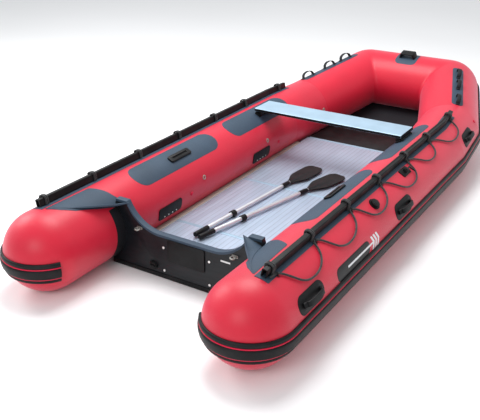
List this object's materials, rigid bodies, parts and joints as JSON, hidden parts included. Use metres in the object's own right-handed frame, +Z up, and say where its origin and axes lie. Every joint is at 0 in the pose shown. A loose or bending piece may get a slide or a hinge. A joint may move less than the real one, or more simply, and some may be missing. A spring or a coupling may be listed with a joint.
{
  "type": "inflatable dinghy",
  "caption": "Inflatable dinghy with two buoyancy tubes joined at the bow, a rigid transom for an outboard, slatted metal floor, bench seat, lifelines and stowed oars.",
  "frame": {"origin": "on the ground under the middle of the boat, halfway between bow and stern", "axes": "+X starboard, +Y towards the bow, +Z up"},
  "size_m": [1.976, 4.5599, 0.7143],
  "materials": {
    "red_fabric": "PVC-coated fabric, satin",
    "grey_fabric": "coated fabric, matt",
    "black_rubber": "moulded rubber",
    "strake_rubber": "ribbed rubber with red pinstripes",
    "black_plastic": "moulded nylon",
    "ply": "painted marine plywood",
    "floor_alloy": "ribbed anodised",
    "seat_alloy": "brushed anodised",
    "shaft_alloy": "polished tube",
    "steel": "stainless",
    "rope": "braided cord",
    "red_plastic": "moulded"
  },
  "bodies": {
    "hull": {"port_side_tube": "red_fabric", "starboard_side_tube": "red_fabric", "port_bow_tube": "red_fabric", "starboard_bow_tube": "red_fabric", "bow_front_tube": "red_fabric", "chamber_baffles": "red_fabric", "keel_tube": "red_fabric", "hull_bottom": "grey_fabric", "keel_strip": "black_rubber", "side_strakes": "strake_rubber", "bow_strake": "strake_rubber", "transom_board": "ply", "transom_cap": "grey_fabric", "motor_pads": "black_plastic", "transom_foot": "black_plastic", "port_gusset": "grey_fabric", "starboard_gusset": "grey_fabric", "towing_eyes": "steel", "drain_socket": "black_plastic", "aft_floor_panel": "floor_alloy", "middle_floor_panel": "floor_alloy", "fore_floor_panel": "floor_alloy", "floor_joiners": "floor_alloy", "floor_stringers": "floor_alloy", "bow_board": "ply", "wear_patches": "grey_fabric", "seat_holders": "black_rubber", "port_rail": "black_rubber", "starboard_rail": "black_rubber", "rail_pads": "grey_fabric", "line_clips": "steel", "port_grab_line": "rope", "starboard_grab_line": "rope", "carry_handles": "black_rubber", "bow_patches": "grey_fabric", "bow_loops": "black_rubber", "bow_line_guide": "black_rubber", "oarlock_bases": "black_plastic", "valve_bodies": "black_plastic", "chamber_rings": "steel", "cleat_plates": "black_plastic", "small_screws": "steel", "line_pads": "red_plastic"},
    "drain_plug": {"drain_plug": "black_plastic"},
    "seat": {"seat_board": "seat_alloy", "seat_hooks": "black_plastic"},
    "port_oarlock": {"port_oarlock": "steel"},
    "port_valve_cap": {"port_valve_cap": "black_plastic"},
    "port_valve_stem": {"port_valve_stem": "black_plastic"},
    "port_oar": {"port_oar_lower_shaft": "shaft_alloy", "port_oar_blade": "black_plastic"},
    "port_oar_handle": {"port_oar_upper_shaft": "shaft_alloy", "port_oar_grip": "black_plastic"},
    "starboard_oarlock": {"starboard_oarlock": "steel"},
    "starboard_valve_cap": {"starboard_valve_cap": "black_plastic"},
    "starboard_valve_stem": {"starboard_valve_stem": "black_plastic"},
    "starboard_oar": {"starboard_oar_lower_shaft": "shaft_alloy", "starboard_oar_blade": "black_plastic"},
    "starboard_oar_handle": {"starboard_oar_upper_shaft": "shaft_alloy", "starboard_oar_grip": "black_plastic"}
  },
  "joints": [
    {"name": "drain_plug_draw", "type": "slide", "parent": "hull", "child": "drain_plug", "axis": [0, -1, 0], "range_m": [0, 0.04]},
    {"name": "seat_lift", "type": "slide", "parent": "hull", "child": "seat", "axis": [0, 0, 1], "range_m": [0, 0.15]},
    {"name": "port_oarlock_swing", "type": "hinge", "parent": "hull", "child": "port_oarlock", "pos_m": [-0.83655, -0.252, 0.47552], "axis": [-0.4894, 0, 0.8721], "range_deg": [0, 60]},
    {"name": "port_valve_cap_turn", "type": "hinge", "parent": "hull", "child": "port_valve_cap", "pos_m": [-0.85661, -0.81, 0.45937], "axis": [-0.5736, 0, 0.8192], "range_deg": [0, 90]},
    {"name": "port_valve_stem_press", "type": "slide", "parent": "hull", "child": "port_valve_stem", "axis": [0.5736, 0, -0.8192], "range_m": [0, 0.006], "stiffness_N_per_m": 500, "springref_m": -0.002},
    {"name": "port_oar_lift", "type": "slide", "parent": "hull", "child": "port_oar", "axis": [0, 0, 1], "range_m": [0, 0.12]},
    {"name": "port_oar_handle_draw", "type": "slide", "parent": "port_oar", "child": "port_oar_handle", "axis": [-0.0921, -0.9957, 0.004], "range_m": [0, 0.075]},
    {"name": "starboard_oarlock_swing", "type": "hinge", "parent": "hull", "child": "starboard_oarlock", "pos_m": [0.83655, -0.252, 0.47552], "axis": [0.4894, 0, 0.8721], "range_deg": [-60, 0]},
    {"name": "starboard_valve_cap_turn", "type": "hinge", "parent": "hull", "child": "starboard_valve_cap", "pos_m": [0.85661, -0.81, 0.45937], "axis": [0.5736, 0, 0.8192], "range_deg": [0, 90]},
    {"name": "starboard_valve_stem_press", "type": "slide", "parent": "hull", "child": "starboard_valve_stem", "axis": [-0.5736, 0, -0.8192], "range_m": [0, 0.006], "stiffness_N_per_m": 500, "springref_m": -0.002},
    {"name": "starboard_oar_lift", "type": "slide", "parent": "hull", "child": "starboard_oar", "axis": [0, 0, 1], "range_m": [0, 0.12]},
    {"name": "starboard_oar_handle_draw", "type": "slide", "parent": "starboard_oar", "child": "starboard_oar_handle", "axis": [-0.2192, -0.9757, 0.004], "range_m": [0, 0.075]}
  ]
}
